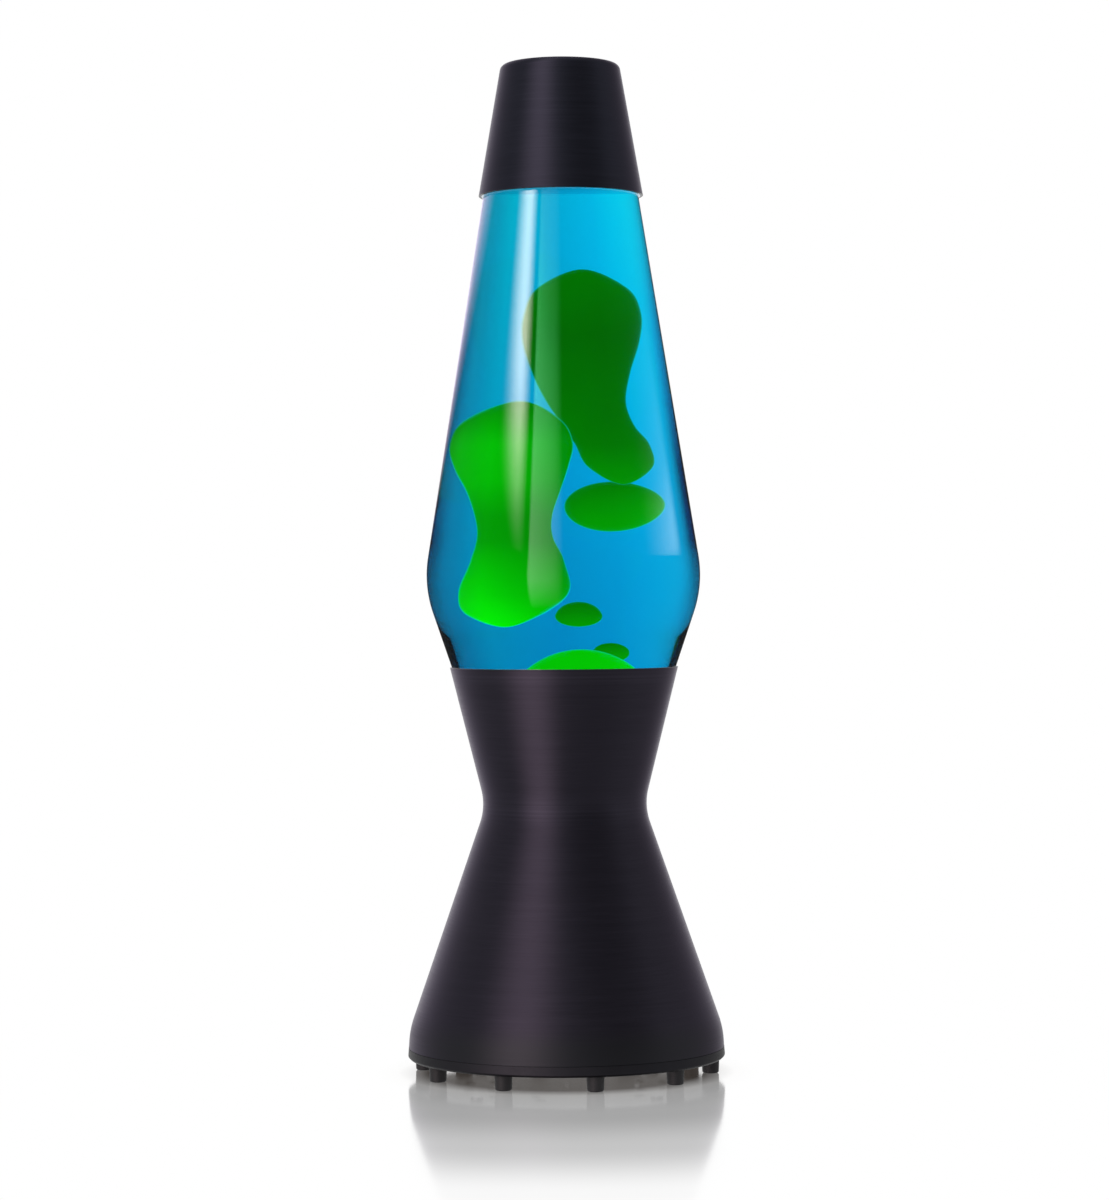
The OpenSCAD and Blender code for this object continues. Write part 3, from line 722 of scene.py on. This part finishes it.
def make_liquid():
    """The liquid from the settled wax up to its level, with a meniscus at the glass."""
    surface = bottle_face(GLASS_WALL - WETTING, MOUTH_Z)
    low, high = POOL_Z - 0.4 * MM, liquid_high[2]
    wall = [p for p in surface if low < p.y < high]
    meniscus = 0.8 * MM
    top_r = wall_r(high, surface)
    profile = spaced(
        [Vector((0, low)), Vector((wall_r(low, surface), low))] + wall
        + [Vector((top_r, high)), Vector((top_r - meniscus, high - meniscus)), Vector((0, high - meniscus))]
    )
    obj = lathe("blue_liquid", profile, closed=False, segments=256, sharp=50)
    paint(obj, blue_liquid)
    stand_for(obj, "bottle", "liquid_blue", "liquid")


# ---------- wax ----------


def blended(a, b, c, d, t):
    """A smooth curve through b and c, at t of the way between them."""
    return tuple(
        0.5 * (2 * q + (r - p) * t + (2 * p - 5 * q + 4 * r - s) * t * t + (3 * q - p - 3 * r + s) * t ** 3)
        for p, q, r, s in zip(a, b, c, d)
    )


def smooth_rows(rows, steps):
    """Rows of (height, x, radius) smoothed; the radius runs on negative, which rounds each end."""
    first = (rows[1][0], rows[1][1], -rows[1][2])
    final = (rows[-2][0], rows[-2][1], -rows[-2][2])
    every = [first, *rows, final]
    result = []
    for i in range(len(rows) - 1):
        for s in range(steps):
            if i + s > 0:
                result.append(blended(*every[i:i + 4], s / steps))
    return result


def closed_skin(name, low, rings, high):
    """Rings of points joined into one skin, closed by a point at each end."""
    n, verts = len(rings[0]), [low]
    for ring in rings:
        verts += ring
    verts.append(high)
    top = len(verts) - 1
    faces = []
    for j in range(n):
        k = (j + 1) % n
        faces.append((0, 1 + k, 1 + j))
        faces.append((top, top - n + j, top - n + k))
        for i in range(len(rings) - 1):
            a = 1 + i * n
            b = a + n
            faces.append((a + j, a + k, b + k, b + j))
    return new_object(name, verts, faces, 180)


def tall_drop(name, rows, y, steps=8, sides=72):
    """A drop from rows of (height, x, radius) in millimetres."""
    rows = [tuple(v * MM for v in row) for row in rows]
    rings = []
    for z, x, r in smooth_rows(rows, steps):
        rings.append([
            (x + r * math.cos(TURN * j / sides), y * MM + r * math.sin(TURN * j / sides), z)
            for j in range(sides)
        ])
    return closed_skin(name, (rows[0][1], y * MM, rows[0][0]), rings, (rows[-1][1], y * MM, rows[-1][0]))


def small_drop(name, middle, r, h, sides=56, steps=28):
    """A drop of radius r and half-height h, in millimetres."""
    rings = []
    for i in range(1, steps):
        a = -math.pi / 2 + math.pi * i / steps
        rings.append([
            (
                (middle[0] + r * math.cos(a) * math.cos(TURN * j / sides)) * MM,
                (middle[1] + r * math.cos(a) * math.sin(TURN * j / sides)) * MM,
                (middle[2] + h * math.sin(a)) * MM,
            )
            for j in range(sides)
        ])
    x, y, z = (v * MM for v in middle)
    return closed_skin(name, (x, y, z - h * MM), rings, (x, y, z + h * MM))


LEFT_ROWS = [
    (193.8, -20, 0), (199.5, -20.5, 13.5), (206.7, -17, 19), (216.5, -15.6, 16), (226, -16.3, 13),
    (235, -16.8, 13.3), (246, -17, 16.4), (256, -18.2, 20.3), (266, -19, 22.5),
    (276, -18, 17.2), (284, -14.5, 0),
]
UPPER_ROWS = [
    (247.7, 18, 0), (255, 17, 9.4), (265, 14.5, 10.9), (273, 10.6, 10.5), (283, 7, 11.6),
    (295, 5.5, 14.1), (309.2, 5.3, 16.7), (321.5, 5.7, 16.5), (332.6, 5.8, 12.6), (340.4, 6, 0),
]


def make_mound(material):
    """The settled wax: a dome that runs out to the glass, then down to the bottle's foot."""
    sides, steps = 96, 22
    centre, radius, height = DOME
    skirt = 2.2 * MM
    film = 0.1 * MM
    rings = []
    floor_z = mound_low[2] + PUNT
    wall = [
        p for p in spaced(INSIDE, 2 * MM)
        if p.x > BOTTLE_R - 6 * MM and floor_z + 0.3 * MM < p.y < POOL_Z - 0.5 * MM
    ]

    def ring_at_wall(r, z, shrink):
        """A ring close to the glass, its points spread evenly as seen from the dome's middle."""
        ring = []
        for j in range(sides):
            a = TURN * j / sides
            away = r - film - shrink
            reach = -centre * math.cos(a) + math.sqrt(away ** 2 - (centre * math.sin(a)) ** 2)
            ring.append((centre + reach * math.cos(a), reach * math.sin(a), z))
        return ring

    rings.append(ring_at_wall(wall[0].x, floor_z, 0.4 * MM))
    rings += [ring_at_wall(p.x, p.y, 0) for p in wall]
    rings.append(ring_at_wall(wall_r(POOL_Z, INSIDE), POOL_Z - 0.2 * MM, 0.2 * MM))
    for i in range(steps):
        a = math.pi / 2 * i / steps
        flare = skirt * math.exp(-6 * a)
        r = radius * math.cos(a) + flare
        z = POOL_Z + height * math.sin(a)
        rings.append([
            (centre + r * math.cos(TURN * j / sides), r * math.sin(TURN * j / sides), z)
            for j in range(sides)
        ])
    obj = closed_skin("wax_dome", (centre, 0, floor_z), rings, (centre, 0, POOL_Z + height))
    paint(obj, material)
    stand_for(obj, "bottle", "wax_green", "wax_mound")


LEFT_GLOW = [
    (0.0, 0.68), (0.12, 0.47), (0.34, 0.235), (0.46, 0.23),
    (0.62, 0.33), (0.8, 0.33), (0.9, 0.24), (1.0, 0.16),
]
UPPER_GLOW = [(0.0, 0.34), (0.19, 0.2), (0.35, 0.16), (0.69, 0.125), (1.0, 0.16)]
SMALL_GLOW = [(0.0, 0.36), (0.5, 0.28), (1.0, 0.18)]


def make_wax():
    """Each drop rides on its own body, such as left_drop, and stands for its own node, such as wax_left."""
    drops = [
        ("left", tall_drop("wax_drop_left", LEFT_ROWS, -9), LEFT_GLOW, 2.3, 0.42),
        ("upper", tall_drop("wax_drop_upper", UPPER_ROWS, 12), UPPER_GLOW, 1.45, 0.25),
        ("flat", small_drop("wax_drop_flat", (13.1, 28, 237.8), 12.8, 10.9), SMALL_GLOW, 1.6, 0),
        ("small", small_drop("wax_drop_small", (4.6, 8, 199.9), 7.3, 4.6), SMALL_GLOW, 1.7, 0),
        ("low", small_drop("wax_drop_low", (13.4, 18, 184.7), 5.2, 4.3), SMALL_GLOW, 1.7, 0),
    ]
    for which, obj, glow, strength, lean in drops:
        node = "wax_" + which
        paint(obj, warm_wax(obj.name + "_green", *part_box(node), glow, strength, lean))
        stand_for(obj, which + "_drop", "wax_green", node)
    make_mound(warm_wax("wax_dome_green", mound_low, mound_high, [(0.0, 1.0), (1.0, 0.8)], 1.3, 0))


# ---------- what the CAD keeps ----------

KEPT = {
    "bottom_plate": plate_steel, "holder_bracket": steel, "plate_screws": dark_steel,
    "bracket_screws": screw_steel, "lampholder_screws": screw_steel, "earth_screw": screw_steel,
    "lampholder_body": ceramic, "bulb_base": ceramic, "contact_live": brass,
    "contact_neutral": brass, "earth_tag": brass, "terminal_screws": brass,
    "terminal_block": terminal_white, "live_wire": sleeve_brown, "neutral_wire": sleeve_blue,
    "earth_wire": sleeve_green, "bulb_pins": tungsten, "bulb_filament": tungsten,
    "bulb_reflector": mirror, "bulb_lens": bulb_glass, "bulb_capsule": bulb_glass,
    "crown_closure": tinplate, "closure_liner": liner, "coil_spring": screw_steel,
    "cord_gland": rubber, "gland_nut": rubber,
}


def finish_kept_nodes():
    """Gives each CAD piece that shows as it is its material."""
    for name, material in KEPT.items():
        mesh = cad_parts[name].data
        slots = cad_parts[name].material_slots
        if not slots:
            mesh.materials.append(material)
        for s in slots:
            s.material = material


make_base_shell()
make_foot_ring()
make_feet()
make_cap()
make_bottle()
make_liquid()
make_wax()
finish_kept_nodes()

# ---------- stage ----------


def make_floor():
    """A white floor, glossy round the lamp where it is seen at a low angle. Its white is emission, so
    no shadow falls on it, and a painted shadow under the lamp is part of its colour. It is left out of
    other reflections."""
    size = 12.0
    gloss_r = 0.35
    shade_r, light_r = 0.05, 0.09
    mesh = bpy.data.meshes.new("floor")
    mesh.from_pydata(
        [(-size, -size, 0), (size, -size, 0), (size, size, 0), (-size, size, 0)], [], [(0, 1, 2, 3)]
    )
    floor = bpy.data.objects.new("floor", mesh)
    bpy.context.scene.collection.objects.link(floor)
    floor.visible_glossy = False
    floor.visible_shadow = False
    m = Material("floor_white")
    distance = m.node("VectorMath", operation="LENGTH")
    m.feed(m.place(), distance.inputs[0])
    gloss = m.ramp(m.between(distance.outputs["Value"], 0, 1, 0.0, gloss_r), [
        (0.2, 0.69), (0.36, 0.63), (0.58, 0.45), (0.86, 0.06), (1.0, 0.0),
    ], "EASE")
    grazing = m.node("LayerWeight")
    grazing.inputs["Blend"].default_value = 0.5
    sheen = m.between(grazing.outputs["Facing"], 0.15, 1, 0.4, 0.82, smooth=True)
    glow = m.node("Emission")
    # A painted shadow: the floor's own light is dark under the lamp.
    shade_of = m.ramp(m.between(distance.outputs["Value"], 0, 1, shade_r, light_r), [
        (0.2, (0.11, 0.09, 0.075)), (0.55, (0.95, 0.94, 0.93)), (0.8, (1.0, 1.0, 1.0)),
    ])
    m.feed(shade_of, glow.inputs["Color"])
    shine = m.node("BsdfGlossy")
    shine.inputs["Color"].default_value = (1, 1, 1, 1)
    shine.inputs["Roughness"].default_value = 0.1
    mixer = m.node("MixShader")
    m.feed(m.product(gloss, sheen), mixer.inputs["Fac"])
    m.feed(glow.outputs["Emission"], mixer.inputs[1])
    m.feed(shine.outputs["BSDF"], mixer.inputs[2])
    m.feed(mixer.outputs["Shader"], m.tree.nodes["Material Output"].inputs["Surface"])
    paint(floor, m.material)


def bearing(azimuth, elevation=0.0):
    """The direction from the lamp; azimuth 0 is the front and turns towards +X."""
    a, e = math.radians(azimuth), math.radians(elevation)
    return Vector((math.sin(a) * math.cos(e), -math.cos(a) * math.cos(e), math.sin(e)))


def make_world():
    """A white studio. To the eye it is plain white; brushed metal sees a broad warm softbox to the left
    and a grey card to the right; polished glass sees narrow softboxes in a dark room. Azimuth and up
    are in degrees, as in bearing."""
    world = bpy.data.worlds.new("studio")
    bpy.context.scene.world = world
    world.use_nodes = True
    n = Nodes(world.node_tree)
    toward = n.parts(n.node("TexCoord").outputs["Generated"])
    degrees = 360 / TURN
    azimuth = n.product(n.math("ARCTAN2", toward["X"], n.product(toward["Y"], -1.0)), degrees)
    up = n.product(n.math("ARCSINE", toward["Z"], 0.0), degrees)

    def lamp(colour, *shape):
        return n.mix(1.0, colour, n.product(*shape), "MULTIPLY")

    def total(colours):
        result = colours[0]
        for colour in colours[1:]:
            result = n.mix(1.0, result, colour, "ADD")
        return result

    below = n.between(up, 0.1, 1.0, -65, -40, smooth=True)
    card = n.node("VectorMath", operation="DOT_PRODUCT")
    n.feed(n.node("TexCoord").outputs["Generated"], card.inputs[0])
    card.inputs[1].default_value = bearing(38, 18)
    studio = total([
        lamp((1, 1, 1), n.between(card.outputs["Value"], 1.0, 0.4, 0.72, 1.0, smooth=True),
             n.math("SUBTRACT", 1.0, n.product(n.bell(azimuth, 88, 145, 172), 0.4)), below),
        lamp((1.02, 0.81, 0.82), n.bell(azimuth, -75, -37, 0), 2.85),
    ])
    behind = n.math("ABSOLUTE", azimuth, 0.0)
    over = n.between(up, 0, 1, 17.4, 20.8, smooth=True)
    veil_across = n.ramp(n.between(azimuth, 0, 1, -31, 0), [
        (0.0, 0.0), (0.08, 1.0), (0.75, 0.42), (1.0, 0.0),
    ])
    veil_up = n.ramp(n.between(up, 0, 1, -32, 28), [
        (0.0, 0.0), (0.45, 1.0), (0.84, 1.0), (0.91, 0.27), (1.0, 0.15),
    ])
    above = n.bell(up, 18.4, 21.6, 24.8)
    rim = n.math("SUBTRACT", up, n.product(n.math("ADD", azimuth, 147.0), 0.25))
    slant = n.math("ADD", up, n.product(azimuth, 0.11))
    corner = n.ramp(n.between(slant, 0, 1, 22.2, 27.2), [
        (0.0, 0.0), (0.16, 1.0), (0.25, 1.0), (0.45, 0.3), (0.7, 0.1), (1.0, 0.0),
    ])
    # In turn: the dark room, the tall strip, the veil beside it, the veil's green top, the window's
    # corner at the right, the pink light at the left edge and the light that outlines both edges.
    polished = total([
        lamp((1, 1, 1), 0.03),
        lamp((1, 0.9, 0.8), n.bell(azimuth, -69, -46, -33), over, 12.4),
        lamp((1, 1, 1), veil_across, veil_up, 2.4),
        lamp((0, 1, 0.2), veil_across, above, 4.0),
        lamp((1, 1, 1), n.bell(azimuth, 73, 112, 125), corner, 1.6),
        lamp((1, 0.88, 1.15), n.between(azimuth, 0, 1, -112, -128, smooth=True),
             n.between(rim, 0, 1, 7.7, 11), 1.2),
        lamp((1, 1, 1), n.between(behind, 0, 1, 158, 172), over, 5.0),
    ])
    ray = n.node("LightPath").outputs
    lit = n.mix(ray["Is Singular Ray"], studio, polished)
    seen = n.math("MAXIMUM", ray["Is Camera Ray"], ray["Is Transmission Ray"])
    n.feed(n.mix(seen, lit, (1.0, 1.0, 1.0)), n.tree.nodes["Background"].inputs["Color"])


def make_lights():
    """One broad softbox overhead."""
    light = bpy.data.lights.new("overhead_softbox", "AREA")
    light.size = 1.4
    light.energy = 4.0
    obj = bpy.data.objects.new("overhead_softbox", light)
    bpy.context.scene.collection.objects.link(obj)
    obj.location = (0, 0, 2.4)
    obj.visible_camera = False
    obj.visible_transmission = False


def make_camera():
    """In front of the lamp, at about half its height, with the small tilts of the photo's view."""
    distance, height = 1.474, 0.205
    camera = bpy.data.cameras.new("camera")
    camera.sensor_width = 36
    camera.lens = 103.5
    obj = bpy.data.objects.new("camera", camera)
    bpy.context.scene.collection.objects.link(obj)
    pitch, yaw, roll = math.radians(-0.14), math.radians(0.15), math.radians(-0.39)
    obj.location = (0, -distance, height)
    turn = Euler((math.pi / 2 + pitch, 0, yaw), "XYZ").to_matrix()
    spin = Euler((0, 0, roll), "XYZ").to_matrix()
    obj.rotation_euler = (turn @ spin).to_euler()
    bpy.context.scene.camera = obj


make_floor()
make_world()
make_lights()
make_camera()
bpy.context.scene.view_settings.view_transform = "Standard"
